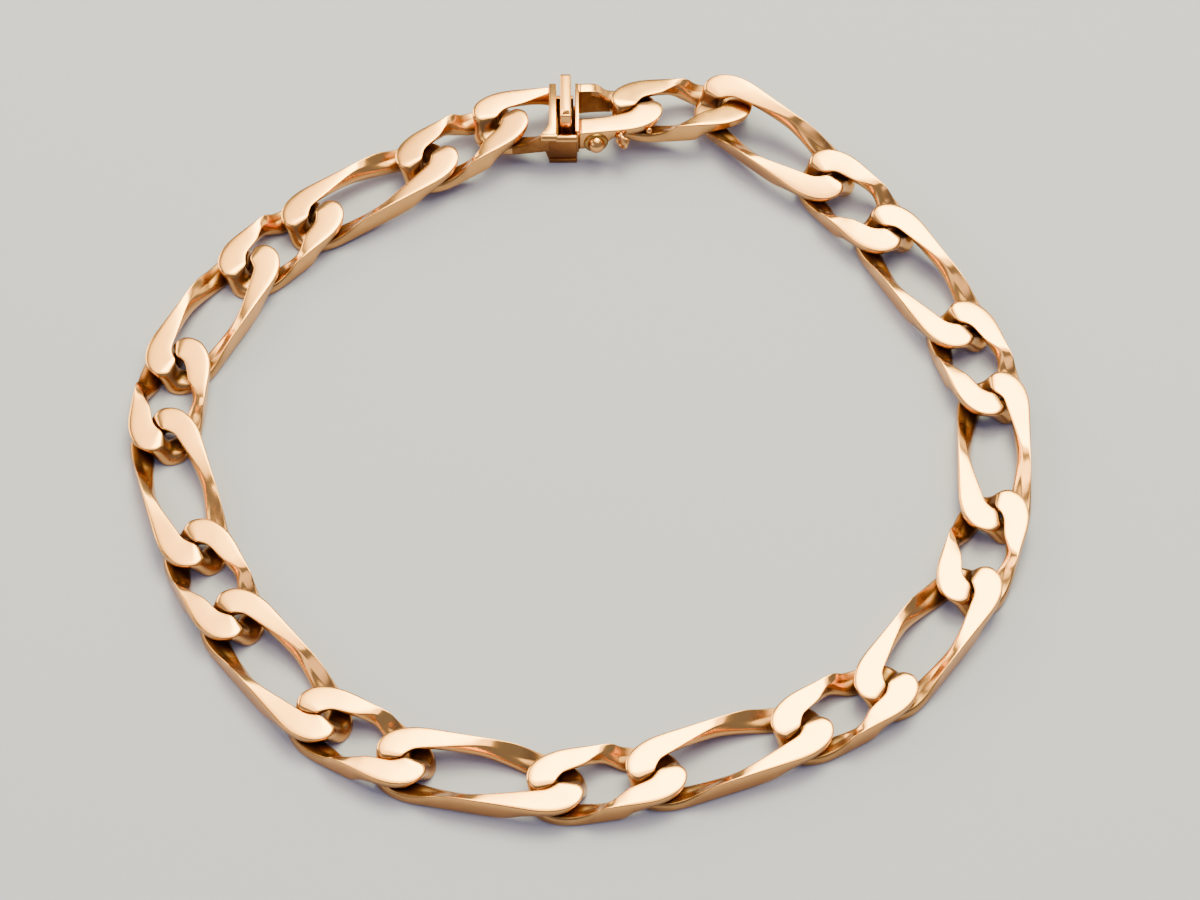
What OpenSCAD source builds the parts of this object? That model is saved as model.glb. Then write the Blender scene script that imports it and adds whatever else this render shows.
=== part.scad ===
// Flat link bracelet in rose gold: long and short curb links in turn, closed by a box clasp.
// The loop lies on Z = 0. X runs along the clasp to the right, Y away from the viewer, Z up.
// The origin is under the middle of the loop's outline.

/* [Chain] */
// Distance between the crossings at the two ends of a long link
long_pitch = 10.5; // [10:0.1:11.5]
// Distance between the crossings at the two ends of a short link
short_pitch = 6.8; // [6.5:0.1:7.4]
// Width across the two arms of a link
chain_w = 5.2; // [5:0.05:5.4]
// Thickness between the pressed flats
chain_t = 1.7; // [1.5:0.05:1.8]
// How far the end of a link passes the crossing that it hooks through
end_reach = 1.9; // [1.8:0.05:2]
// Depth of an arm at the middle of a link, from the outer wall to the hole
arm_w = 0.95; // [0.85:0.05:1.1]
// Clear space between two hooked links
link_gap = 0.2; // [0.16:0.01:0.24]
// How far each link is pushed into the one before, so that the chain lies slack
play = 0.06; // [0:0.01:0.1]

/* [Clasp] */
// Height of the end plates above the surface that the bracelet lies on
clasp_h = 2.85; // [2.75:0.05:3.1]
// Length from the outer face of one end plate to the outer face of the other
clasp_len = 2.27; // [2.2:0.05:2.6]
// How far the box and tongue lie to the left of the middle between the two half links
clasp_shift = 0.27; // [0:0.03:0.36]
// Width of the end plates across the chain
plate_w = 4.65; // [4.4:0.05:4.8]
// Thickness of the end plate of the box
box_plate_t = 0.55; // [0.45:0.05:0.6]
// Thickness of the end plate of the tongue
tongue_plate_t = 0.3; // [0.25:0.05:0.35]
// Thickness of the floor of the box
floor_t = 0.4; // [0.3:0.05:0.5]
// How far the floor stands out past the near wall as a ledge
ledge = 0.1; // [0.05:0.05:0.3]
// Thickness of the walls of the box
wall_t = 0.36; // [0.3:0.02:0.45]
// Thickness of the sprung leaf of the tongue
leaf_t = 0.28; // [0.22:0.02:0.32]
// Length of the thumb bar along the chain
bar_len = 0.83; // [0.7:0.05:0.9]
// Height of the thumb bar above the end plates
bar_rise = 1.4; // [1.2:0.05:1.5]
// Clear space between the tongue and the box
clasp_gap = 0.12; // [0.1:0.01:0.15]
// Diameter of the ball of the stud
ball_d = 1.3; // [1.1:0.05:1.4]
// Diameter of the collar behind the ball
collar_d = 1.85; // [1.6:0.05:2]
// Turn of the box and tongue against the line between the half links, in degrees
clasp_turn = -6.5; // [-8:0.5:0]

/* [Hidden] */
GOLD = "#d9a184";

// Half of the gap as a share of half the thickness
gap_s = link_gap / chain_t;

// Sections of the wire have eight corners: up the outer wall, over the top face, down the inner
// side and back out along the underside. Columns: depth inward from the outer wall as a share
// of the arm's depth, height as a share of half the thickness.
ARM = [[0, 0.86], [0.07, 0.97], [0.38, 0.93], [1, 0.3], [1, -0.3], [0.38, -0.93], [0.07, -0.97], [0, -0.86]];

// Sections of the hooked end, by the angle that the wire has turned from the arm. Columns:
// distance from the centre of the turn as a share of half the width, height as above.
HOOK = [
    [0, [[1, 0.9], [0.98, 1], [0.31, 1], [0.37, 0.6],
        [0.55, 0.2], [0.74, gap_s], [0.95, 0.16], [1, 0.42]]],
    [25, [[1, 0.9], [0.98, 1], [0.25, 1], [0.31, 0.55],
        [0.47, 0.14], [0.74, gap_s], [0.95, 0.12], [1, 0.4]]],
    [45, [[1.04, 0.9], [1.02, 1], [0.235, 1], [0.265, 0.45],
        [0.42, gap_s], [0.76, gap_s], [0.95, 0.1], [1.03, 0.34]]],
    [58, [[1.07, 0.9], [1.05, 1], [0.24, 1], [0.27, 0.35],
        [0.45, gap_s], [0.7, gap_s], [0.88, gap_s], [1.01, 0.3]]],
    [70, [[1.07, 0.88], [1.04, 1], [0.255, 1], [0.28, 0.2],
        [0.4, 0], [0.6, -0.02], [0.8, 0], [0.95, 0.24]]],
    [81, [[1.05, 0.8], [1.02, 1], [0.275, 1], [0.29, 0.1],
        [0.34, -0.4], [0.47, -0.93], [0.8, -0.9], [0.93, -0.25]]],
    [90, [[1, 0.5], [0.93, 0.97], [0.32, 0.97], [0.3, 0.3],
        [0.3, -0.3], [0.32, -0.97], [0.93, -0.97], [1, -0.5]]]];

// Stations along an arm. Columns: place as a share of the way from the hook to the middle; then
// the share of the hook's section in the upper corners, in the two inner ones of the lower
// corners and in the two outer ones
ARM_STATIONS = [[1, 0, 0, 0], [0.62, 0.25, 0.42, 0], [0.27, 0.5, 0.78, 0.12], [0, 0.72, 1, 0.6]];
// Arm and stations of the half link on the tongue, square and wide up to the end plate
WIDE_ARM = [[0, 0.92], [0.06, 1], [0.92, 1], [1, 0.9], [1, -0.9], [0.92, -1], [0.06, -1], [0, -0.92]];
WIDE_STATIONS = [[1, 0.72, 0, 0], [0.5, 0.7, 0.02, 0], [0.16, 0.76, 0.4, 0.26], [0, 0.8, 1, 1]];

// Route of the chain: how far each link is turned from the one before, in degrees, clockwise
// round the loop from the right end of the clasp
TURNS = [0, -49.5, -8.5, -10, -11, -20.5, -16, -17.5, -23.5, -10.5, -11.5, -20, -19.5, -21.5, -12.5,
    -8.5, -21.5, -22, -17, -13, 0];
// Links that don't lie flat or are slack; number 22 is the left end of the clasp. Columns: number,
// roll about its own length in degrees; then as shares of the thickness the rise of its first end,
// the rise of its second end, the slack that its first end takes up along the link before and the
// same across it
RAISED = [[1, -2, 0.66, 0.4, 0, 0], [2, 12, 0.73, 0.365, 0.165, -0.094], [3, 8, 0.365, 0.26, 0.03, 0],
    [4, 4, 0.26, 0.12, 0.03, 0], [5, 0, 0.12, 0.06, 0.03, 0], [6, 0, 0.06, 0.01, 0, 0],
    [18, 0, 0.005, 0.02, 0.06, 0], [19, 0, 0.02, 0.08, 0.15, 0], [20, 0, 0.08, 0.35, 0.25, 0],
    [21, -2, 0.365, 0.57, 0.3, 0], [22, 0, 0, 0, 0.06, 0.06]];

half_w = chain_w / 2;
half_t = chain_t / 2;
turn_x = half_w - end_reach;
hook_x = end_reach + link_gap;
chain_n = len(TURNS);
// Height of the half links of the clasp, whose tops are level with the end plates
clasp_z = clasp_h - half_t;
// How far a soldered arm runs into its end plate
embed = 0.06;
// Faces of the clasp along X, from the middle between the half links
box_x0 = -clasp_len / 2 - clasp_shift;
box_x1 = box_x0 + box_plate_t;
tongue_x1 = clasp_len / 2 - clasp_shift;
tongue_x0 = tongue_x1 - tongue_plate_t;
wall_x1 = tongue_x1 - clasp_gap - embed;
bar_x = (box_x1 + tongue_x0) / 2;
// Inner faces of the walls of the box, and how far soldered pieces run into each other
lap = embed / 2;
wall_y = plate_w / 2 + lap;
outer_y = wall_y + wall_t;
// Far edge of both end plates
plate_y1 = outer_y + lap;
// Rounded rim on the near wall
rim_r = wall_t * 0.72;
rim_z = clasp_h - rim_r;
// How far the near wall leans out past the end plate at its top
lean = box_plate_t * 1.1;
// Leaf of the tongue: its lower and upper inner faces, its half width and the middle of its fold
side_y = wall_y - clasp_gap - lap;
leaf_y = side_y - leaf_t;
leaf_z0 = floor_t + clasp_gap + leaf_t;
leaf_z1 = clasp_h * 0.6;
fold_r = (leaf_z1 - leaf_z0) / 2 + leaf_t;
fold_x = box_x1 + clasp_gap + fold_r;
bar_z0 = leaf_z1 + leaf_t / 2;
bar_top = clasp_h + bar_rise;
bar_round = bar_len / 2;
bar_y0 = bar_len * 0.3 - side_y;
bar_y1 = outer_y - clasp_gap;
// Stud and eye on the near side of the tongue's half link
stud_x = tongue_x1 + ball_d * 0.74;
stud_z = clasp_z - collar_d / 8;
stud_t = ball_d * 0.3;
eye_x = stud_x + ball_d * 1.45;
eye_r = ball_d * 0.38;
eye_wire = ball_d * 0.115;
bead_d = ball_d * 0.54;

function mix(a, b, s) = a + (b - a) * s;
function sum(v, i = 0) = i < len(v) - 1 ? v[i] + sum(v, i + 1) : v[i];
function arm_corner(arm, k) = [half_w - arm[k][0] * arm_w, arm[k][1] * half_t];
function hook_corner(i, k) = [HOOK[i][1][k][0] * half_w, HOOK[i][1][k][1] * half_t];

// One quarter of a link, from the far end of the arm at +Y to the end of the link at -X.
// Each section is a list of eight [x, y, z] corners, measured from the crossing. With a skew,
// the far end is cut at a slant.
function arm_section(arm, st, reach, skew) =
    [for (k = [0:7])
        let (c = mix(arm_corner(arm, k), hook_corner(0, k), st[k < 4 ? 1 : k < 6 ? 2 : 3]))
        [mix(hook_x, reach + skew * c[0], st[0]), c[0], c[1]]];
function hook_section(i) =
    [for (k = [0:7])
        let (c = hook_corner(i, k), a = HOOK[i][0])
        [turn_x - c[0] * sin(a), c[0] * cos(a), c[1]]];
function quarter(arm, stations, reach, skew) = concat(
    [for (st = stations) arm_section(arm, st, reach, skew)],
    [for (i = [0:len(HOOK) - 1]) hook_section(i)]);

// The same section turned over about the link's long axis
function flipped(sec) = [for (k = [0:7]) let (c = sec[7 - k]) [c[0], -c[1], -c[2]]];
// Left half of a link, from the arm at +Y round the end to the arm at -Y
function half_loop(arm, stations, reach, skew = 0) =
    let (q = quarter(arm, stations, reach, skew), r = quarter(arm, stations, reach, -skew), n = len(q))
    concat(q, [for (i = [n - 2:-1:0]) flipped(r[i])]);
// Whole link from its first crossing: the left half and the same half turned round by 180 degrees
function whole_loop(p) =
    let (h = half_loop(ARM, ARM_STATIONS, p / 2), n = len(h))
    concat([for (i = [0:n - 2]) h[i]], [for (i = [0:n - 2]) [for (c = h[i]) [p - c[0], -c[1], c[2]]]]);

// Data of link i, counted from 0
function pitch_of(i) = i % 2 == 0 ? short_pitch : long_pitch;
function raised(i) =
    let (r = [for (q = RAISED) if (q[0] == i + 1) q])
    len(r) > 0 ? r[0] : [i + 1, 0, 0, 0, 0, 0];
function tip(i) = asin((raised(i)[2] - raised(i)[3]) * chain_t / pitch_of(i));
// From the first end of link i to the first end of the next, along link i and across it
function run_of(i) = pitch_of(i) * cos(tip(i)) - play - raised(i + 1)[4] * chain_t;
function side_of(i) = raised(i + 1)[5] * chain_t;
function step(i, h) = run_of(i) * [cos(h), sin(h)] + side_of(i) * [-sin(h), cos(h)];
// Running totals of a list, from the start t
function cumulative(v, t, i = 0) = i < len(v) ? concat([t + v[i]], cumulative(v, t + v[i], i + 1)) : [];

// The route is closed on the clasp by a small change of every heading: a * cos(h) + b * sin(h)
function closed(h, n) =
    n == 0 ? h :
    let (v = [for (i = [0:chain_n - 1]) step(i, h[i])],
         miss = [-long_pitch, 0] - sum(v),
         cc = sum([for (i = [0:chain_n - 1]) v[i][0] * cos(h[i])]),
         cs = sum([for (i = [0:chain_n - 1]) v[i][0] * sin(h[i])]),
         ss = sum([for (i = [0:chain_n - 1]) v[i][1] * sin(h[i])]),
         det = ss * cc - cs * cs,
         a = (miss[0] * cs + ss * miss[1]) / det,
         b = -(cs * miss[1] + cc * miss[0]) / det)
    closed([for (x = h) x + (a * cos(x) + b * sin(x)) * 180 / PI], n - 1);
headings = closed(cumulative(TURNS, 0), 4);
firsts = concat([[0, 0]], cumulative([for (i = [0:chain_n - 1]) step(i, headings[i])], [0, 0]));

// Where link i puts a point c of its own frame, with the clasp's middle at X = Y = 0
function turn_x_axis(c, a) = [c[0], c[1] * cos(a) - c[2] * sin(a), c[1] * sin(a) + c[2] * cos(a)];
function turn_y_axis(c, a) = [c[0] * cos(a) + c[2] * sin(a), c[1], c[2] * cos(a) - c[0] * sin(a)];
function turn_z_axis(c, a) = [c[0] * cos(a) - c[1] * sin(a), c[0] * sin(a) + c[1] * cos(a), c[2]];
function start_of(i) = [long_pitch / 2 + firsts[i][0], firsts[i][1], half_t + raised(i)[2] * chain_t];
function placed(c, i) =
    start_of(i) + turn_z_axis(turn_y_axis(turn_x_axis(c, raised(i)[1]), tip(i)), headings[i]);

// Middle of the loop's outline, measured from the clasp's middle
outline = [for (i = [0:chain_n - 1], sec = whole_loop(pitch_of(i)), c = sec) placed(c, i)];
clasp_top = plate_y1 * cos(clasp_turn) + box_x0 * sin(clasp_turn);
mid_x = (min([for (c = outline) c[0]]) + max([for (c = outline) c[0]])) / 2;
mid_y = (min([for (c = outline) c[1]]) + max(clasp_top, max([for (c = outline) c[1]]))) / 2;

// Skin between sections of eight corners, closed on itself or with a flat end at each side
module skin(secs, ring) {
    n = len(secs);
    last = ring ? n - 1 : n - 2;
    sides = [for (i = [0:last], k = [0:7], h = [0, 1])
        let (a = i * 8 + k, b = i * 8 + (k + 1) % 8,
             c = ((i + 1) % n) * 8 + (k + 1) % 8, d = ((i + 1) % n) * 8 + k)
        h == 0 ? [a, b, c] : [a, c, d]];
    ends = ring ? [] : [[for (k = [7:-1:0]) k], [for (k = [0:7]) (n - 1) * 8 + k]];
    polyhedron(points = [for (s = secs) for (c = s) c], faces = concat(sides, ends));
}

// Link i of the route in its place
module link(i) {
    color(GOLD)
        translate(start_of(i) - [mid_x, mid_y, 0])
            rotate([raised(i)[1], tip(i), headings[i]])
                skin(whole_loop(pitch_of(i)), true);
}

// Half link of the clasp with its hooked end at -X and its crossing at the origin. Its arms end just
// inside the plate whose outer face lies this far from the middle between the half links.
module half_link(arm, stations, face) {
    skin(half_loop(arm, stations, long_pitch / 2 - face + embed, -tan(clasp_turn)), false);
}

// Box between two corners, low and high
module block(low, high) {
    translate(low) cube(high - low);
}

// Puts what is modelled about the clasp's own middle in its place
module on_clasp() {
    translate([-mid_x, -mid_y, 0]) children();
}

// Turns the box and the tongue in it against the line between the crossings
module turned() {
    rotate([0, 0, clasp_turn]) children();
}

// Near wall of the box with its slanted left end, and the rounded rim on it
module near_wall() {
    translate([0, -wall_y, 0]) rotate([90, 0, 0]) linear_extrude(wall_t)
        polygon([[box_x0 + lap, lap], [wall_x1 - lap, lap], [wall_x1 - lap, rim_z],
            [box_x0 - lean, rim_z], [box_x0 - lean, rim_z - lean / 2]]);
    translate([box_x0 - lean - lap, -wall_y - rim_r + lap, rim_z]) rotate([0, 90, 0])
        cylinder(r = rim_r, h = wall_x1 - box_x0 + lean + lap, $fn = 32);
}

module clasp_box() {
    far_wall_h = clasp_h * 0.55;
    color(GOLD) on_clasp() union() {
        turned() {
            block([box_x0, -outer_y - ledge, 0], [wall_x1, outer_y, floor_t]);
            block([box_x0, -wall_y - lap, 0], [box_x1, plate_y1, clasp_h]);
            block([box_x0, wall_y, 0], [tongue_x0 - clasp_gap, outer_y, far_wall_h]);
            near_wall();
        }
        translate([-long_pitch / 2, 0, clasp_z]) half_link(ARM, ARM_STATIONS, -box_x0);
    }
}

// Sprung leaf folded back on itself, drawn along X and Z
module leaf_profile() {
    translate([fold_x, leaf_z0 - leaf_t]) square([tongue_x0 - fold_x + lap, leaf_t]);
    translate([fold_x, leaf_z1]) square([bar_x - fold_x, leaf_t]);
    translate([fold_x, (leaf_z0 + leaf_z1) / 2]) difference() {
        circle(fold_r, $fn = 32);
        circle(fold_r - leaf_t, $fn = 32);
        translate([0, -2 * fold_r]) square(4 * fold_r);
    }
}

// Thumb bar drawn along Y and Z: rounded at its far end, a square notch near its near end
module bar_profile() {
    notch = bar_len / 2;
    difference() {
        union() {
            translate([bar_y0, bar_z0]) square([bar_y1 - bar_round - bar_y0, bar_top - bar_z0]);
            translate([bar_y1 - bar_round, bar_z0]) square([bar_round, bar_top - bar_z0 - bar_round]);
            translate([bar_y1 - bar_round, bar_top - bar_round]) circle(bar_round, $fn = 32);
        }
        translate([bar_y0 + notch / 2, bar_top - notch / 2]) square([notch, notch]);
    }
}

// Ball on its collar, behind it the arm of the half link
module stud() {
    translate([stud_x, -half_w + stud_t / 2, stud_z]) rotate([90, 0, 0])
        cylinder(d = collar_d, h = stud_t, $fn = 28);
    translate([stud_x, -half_w - stud_t, stud_z]) sphere(d = ball_d, $fn = 16);
}

// Small upright ring with a bead, soldered to the same arm by a short post
module catch_eye() {
    eye_y = -half_w - eye_r;
    eye_z = clasp_z + eye_wire;
    lean_angle = 35;
    translate([eye_x, eye_y, eye_z]) rotate([0, 90, lean_angle])
        rotate_extrude($fn = 20) translate([eye_r, 0]) circle(eye_wire, $fn = 12);
    translate([eye_x + eye_r / 2, eye_y, eye_z]) sphere(d = bead_d, $fn = 16);
    translate([eye_x, -half_w + eye_wire, clasp_z + half_t * 0.66]) rotate([90, 0, 0])
        cylinder(r = eye_wire, h = eye_r + eye_wire, $fn = 16);
}

module clasp_tongue() {
    color(GOLD) on_clasp() union() {
        turned() {
            block([tongue_x0, -side_y, floor_t + clasp_gap], [tongue_x1, plate_y1, clasp_h]);
            translate([0, leaf_y, 0]) rotate([90, 0, 0]) linear_extrude(2 * leaf_y) leaf_profile();
            translate([bar_x - bar_len / 2, 0, 0]) rotate([90, 0, 90]) linear_extrude(bar_len) bar_profile();
        }
        translate([long_pitch / 2, 0, clasp_z]) rotate([0, 0, 180])
            half_link(WIDE_ARM, WIDE_STATIONS, tongue_x1);
        stud();
        catch_eye();
    }
}

module link_01() { link(0); }
module link_02() { link(1); }
module link_03() { link(2); }
module link_04() { link(3); }
module link_05() { link(4); }
module link_06() { link(5); }
module link_07() { link(6); }
module link_08() { link(7); }
module link_09() { link(8); }
module link_10() { link(9); }
module link_11() { link(10); }
module link_12() { link(11); }
module link_13() { link(12); }
module link_14() { link(13); }
module link_15() { link(14); }
module link_16() { link(15); }
module link_17() { link(16); }
module link_18() { link(17); }
module link_19() { link(18); }
module link_20() { link(19); }
module link_21() { link(20); }

link_01();
link_02();
link_03();
link_04();
link_05();
link_06();
link_07();
link_08();
link_09();
link_10();
link_11();
link_12();
link_13();
link_14();
link_15();
link_16();
link_17();
link_18();
link_19();
link_20();
link_21();
clasp_box();
clasp_tongue();
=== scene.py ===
"""Looks of the rose gold link bracelet: rounded links, the box clasp, finishes, stage and camera."""
import logging
import math
from collections.abc import Callable, Sequence
from dataclasses import dataclass, field
from enum import Enum

import bmesh
import bpy
import numpy as np
from mathutils import Matrix, Vector


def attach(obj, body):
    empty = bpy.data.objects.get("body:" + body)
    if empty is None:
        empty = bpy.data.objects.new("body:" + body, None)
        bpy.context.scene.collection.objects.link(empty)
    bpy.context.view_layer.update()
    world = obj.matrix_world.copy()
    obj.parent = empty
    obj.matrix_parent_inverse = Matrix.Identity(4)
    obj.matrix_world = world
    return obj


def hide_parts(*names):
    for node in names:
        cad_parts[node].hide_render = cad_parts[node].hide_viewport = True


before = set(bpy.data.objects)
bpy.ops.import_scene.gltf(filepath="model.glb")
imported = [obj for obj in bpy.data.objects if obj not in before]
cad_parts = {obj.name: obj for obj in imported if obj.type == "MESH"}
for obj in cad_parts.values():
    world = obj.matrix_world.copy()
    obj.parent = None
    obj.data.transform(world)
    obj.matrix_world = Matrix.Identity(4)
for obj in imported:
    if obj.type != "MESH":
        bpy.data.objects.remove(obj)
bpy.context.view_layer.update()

LOG = logging.getLogger("bracelet")
MM = 0.001
# Name of the value on a mesh's corners that paints shade into the crevices where the links hook through
# each other, and raises the roughness there
SHADE_AND_DULLING = "shade_and_dulling"
# How finely round forms are cut
ROD_SIDES = 32
WIRE_SIDES = 16
BALL_SIDES, BALL_RINGS = 40, 24
RING_STEPS = 40
FOLD_STEPS = 12
BAR_STEPS = 10
BEVEL_STEPS, RIM_STEPS = 3, 4
# Edges of a rod that turn by more degrees than this are the rims of its ends
RIM_ANGLE = 60
# Most of a short rod's length that its two rounded rims may take
RIM_SHARE = 0.9
# CAD corners that agree to this many decimal places of a millimetre are one
SAME_PLACES = 4
# Heights of the visible pieces that differ by less, in millimetres, are the same
SAME_MM = 0.001

Corner = tuple[float, float]
Section = list[Vector]


# Finishes

def linear(hex_colour: str) -> tuple[float, float, float, float]:
    """Turns an sRGB colour into the linear values that the nodes take.

    Args:
        hex_colour: Six hex digits, such as "e6b08f".

    Returns:
        Linear red, green and blue, and an alpha of 1.
    """
    parts = [int(hex_colour[i:i + 2], 16) / 255 for i in (0, 2, 4)]
    low = [p / 12.92 if p <= 0.04045 else ((p + 0.055) / 1.055) ** 2.4 for p in parts]
    return (low[0], low[1], low[2], 1.0)


def add_node(tree: bpy.types.NodeTree, kind: str, values: dict | None = None,
             **settings: object) -> bpy.types.Node:
    """Adds one node and fills in what it needs.

    Args:
        tree: The node tree of a material or world.
        kind: The node's type, such as "ShaderNodeTexNoise".
        values: Input name or number to a value, or to an output socket that is linked to it.
        settings: Properties of the node itself.

    Returns:
        The new node.
    """
    node = tree.nodes.new(kind)
    for name, value in settings.items():
        setattr(node, name, value)
    for key, value in (values or {}).items():
        if isinstance(value, bpy.types.NodeSocket):
            tree.links.new(value, node.inputs[key])
        else:
            node.inputs[key].default_value = value
    return node


@dataclass(frozen=True)
class Metal:
    """A metal with a soft cloud of wear and a fine grain, all worked out from object coordinates.

    Where a mesh's shade_and_dulling value is high, the colour is darkened towards painted shade and the
    roughness rises.
    """

    name: str
    # Colours in the open, at the worn end of the clouds, and the painted shade of the crevices
    colour: str
    worn: str
    crevice_shade: str
    # Middle of the roughness, and how far it runs to either side
    roughness: float
    spread: float
    # Size and depth of the grain, and size of the clouds
    grain_mm: float
    depth_mm: float
    cloud_mm: float = 1.6
    # Noise values between which the polish runs from its best to its worst
    cloud_from: float = 0.3
    cloud_to: float = 0.7
    # Length and depth of the slow waves that hand polishing leaves
    wave_mm: float = 2.6
    wave_depth_mm: float = 0.02
    # Roughness added on top where the crevice value is at its full 1
    dulled: float = 0.12

    @staticmethod
    def noise(tree: bpy.types.NodeTree, size_mm: float, detail: float,
              roughness: float) -> bpy.types.NodeSocket:
        """Adds noise in object coordinates.

        Args:
            tree: The material's node tree.
            size_mm: Size of the noise's largest forms.
            detail: Number of finer layers.
            roughness: Strength of each finer layer against the one before.

        Returns:
            The noise's value.
        """
        place = add_node(tree, "ShaderNodeTexCoord").outputs["Object"]
        return add_node(tree, "ShaderNodeTexNoise", {
            "Vector": place, "Scale": 1 / (size_mm * MM), "Detail": detail,
            "Roughness": roughness}).outputs["Fac"]

    @staticmethod
    def mix(tree: bpy.types.NodeTree, share: bpy.types.NodeSocket, first: object,
            second: object) -> bpy.types.NodeSocket:
        """Adds a mix of two colours.

        Args:
            tree: The material's node tree.
            share: How much of the second colour there is.
            first: The first colour, or a socket that gives it.
            second: The second colour.

        Returns:
            The mixed colour.
        """
        # Sockets go by number here: 0 is the share, 6 and 7 are the colours and 2 is the mixed colour
        node = add_node(tree, "ShaderNodeMix", {0: share, 6: first, 7: second}, data_type="RGBA")
        return node.outputs[2]

    def material(self) -> bpy.types.Material:
        """Makes the material, or gives back the one made before.

        Returns:
            A node material named for the real metal.
        """
        found = bpy.data.materials.get(self.name)
        if found:
            return found
        mat = bpy.data.materials.new(self.name)
        mat.use_nodes = True
        tree = mat.node_tree
        tree.nodes.clear()
        # Painted shade: the corners' crevice value mixes the colour towards the dark shade colour, and
        # also raises the roughness
        crevice_share = add_node(tree, "ShaderNodeAttribute", attribute_name=SHADE_AND_DULLING).outputs["Fac"]
        cloud = self.noise(tree, self.cloud_mm, 3.0, 0.55)
        grain = self.noise(tree, self.grain_mm, 4.0, 0.6)
        swell = self.noise(tree, self.wave_mm, 0.0, 0.5)
        open_tint = self.mix(tree, cloud, linear(self.colour), linear(self.worn))
        tint = self.mix(tree, crevice_share, open_tint, linear(self.crevice_shade))
        polish = add_node(tree, "ShaderNodeMapRange", {
            "Value": cloud, "From Min": self.cloud_from, "From Max": self.cloud_to,
            "To Min": self.roughness - self.spread, "To Max": self.roughness + self.spread})
        rough = add_node(tree, "ShaderNodeMath", {
            0: crevice_share, 1: self.dulled, 2: polish.outputs["Result"]}, operation="MULTIPLY_ADD")
        waves = add_node(tree, "ShaderNodeBump", {
            "Height": swell, "Distance": self.wave_depth_mm * MM, "Strength": 1.0})
        bump = add_node(tree, "ShaderNodeBump", {
            "Height": grain, "Distance": self.depth_mm * MM, "Strength": 1.0,
            "Normal": waves.outputs["Normal"]})
        shader = add_node(tree, "ShaderNodeBsdfPrincipled", {
            "Base Color": tint, "Metallic": 1.0, "Roughness": rough.outputs["Value"],
            "Normal": bump.outputs["Normal"]})
        add_node(tree, "ShaderNodeOutputMaterial", {"Surface": shader.outputs["BSDF"]})
        return mat


@dataclass(frozen=True)
class Card:
    """An even, matt card for the floor under the bracelet."""

    name: str
    colour: str
    roughness: float

    def material(self) -> bpy.types.Material:
        """Makes the material.

        Returns:
            A node material of one colour.
        """
        mat = bpy.data.materials.new(self.name)
        mat.use_nodes = True
        tree = mat.node_tree
        tree.nodes.clear()
        shader = add_node(tree, "ShaderNodeBsdfPrincipled",
                          {"Base Color": linear(self.colour), "Roughness": self.roughness})
        add_node(tree, "ShaderNodeOutputMaterial", {"Surface": shader.outputs["BSDF"]})
        return mat


class Finish(Enum):
    """The finishes that the bracelet shows."""

    # 18 carat rose gold, pressed flat and polished: soft, slightly cloudy reflections on pale rose;
    # 8c6848 is the painted shade of its crevices
    POLISHED = Metal("polished rose gold", "f0b26e", "e8a762", "8c6848", 0.2, 0.04, 0.12, 0.0004)
    # The same gold with solder run over it and left as it set: a brown, lumpy skin with small glints.
    # The lumps are drawn about twice as coarse as real ones, so that they show.
    SOLDERED = Metal("soldered rose gold", "b87f48", "7a4a24", "6a4020", 0.38, 0.08, 0.4, 0.07, 0.5)
    # The same gold as sawn and filed, inside the box: duller, with a faint file grain; its darker,
    # browner colour is painted shade
    FILED_SHADED = Metal("filed rose gold with painted shade", "a46c3e", "7c4a26", "6a4020", 0.36, 0.08, 0.3, 0.006)
    # Yellower gold of the collar, turned and lightly polished: it reads as bronze beside the ball
    TURNED = Metal("turned yellow gold", "b98f52", "9a6f3a", "6a4a20", 0.3, 0.06, 0.15, 0.001)


# Mesh helpers

def piece(name: str, bm: bmesh.types.BMesh, finishes: Sequence[Finish], node: str) -> bpy.types.Object:
    """Turns a finished mesh, in millimetres, into an object of the scene that stands for a CAD node.

    Args:
        name: Name of the object.
        bm: The mesh in its place. It is freed.
        finishes: The finishes, in the order of the faces' material numbers.
        node: The CAD node that the object stands for.

    Returns:
        The object, at the origin.
    """
    bmesh.ops.scale(bm, vec=Vector((MM, MM, MM)), verts=bm.verts)
    bmesh.ops.recalc_face_normals(bm, faces=bm.faces)
    for face in bm.faces:
        face.smooth = True
    mesh = bpy.data.meshes.new(name)
    bm.to_mesh(mesh)
    bm.free()
    obj = bpy.data.objects.new(name, mesh)
    bpy.context.scene.collection.objects.link(obj)
    for finish in finishes:
        mesh.materials.append(finish.value.material())
    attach(obj, "root")
    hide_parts(node)
    LOG.info("%s: %d faces for %s", name, len(mesh.polygons), node)
    return obj


def smoothed(obj: bpy.types.Object, levels: int = 2) -> None:
    """Rounds a piece with a subdivision modifier.

    Args:
        obj: The piece.
        levels: Number of levels, the same in the view and in the render.
    """
    mod = obj.modifiers.new("rounding", "SUBSURF")
    mod.levels = levels
    mod.render_levels = levels


def round_over(bm: bmesh.types.BMesh, width: float, min_angle: float = 30.0) -> None:
    """Bevels every edge that is sharper than an angle.

    Args:
        bm: The mesh, in millimetres.
        width: Width of the bevel.
        min_angle: Smallest angle between two faces that is bevelled, in degrees.
    """
    sharp = [e for e in bm.edges
             if len(e.link_faces) == 2 and math.degrees(e.calc_face_angle(0.0)) > min_angle]
    bmesh.ops.bevel(bm, geom=sharp, offset=width, offset_type="OFFSET", affect="EDGES",
                    segments=BEVEL_STEPS, profile=0.5, material=-1, clamp_overlap=True)


def add_block(bm: bmesh.types.BMesh, low: Sequence[float], high: Sequence[float]) -> None:
    """Adds a box between two corners.

    Args:
        bm: The mesh that takes it.
        low: The corner with the smallest x, y and z.
        high: The opposite corner.
    """
    size = Vector(high) - Vector(low)
    centre = (Vector(high) + Vector(low)) / 2
    bmesh.ops.create_cube(bm, size=1.0,
                          matrix=Matrix.Translation(centre) @ Matrix.Diagonal((*size, 1.0)))


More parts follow.
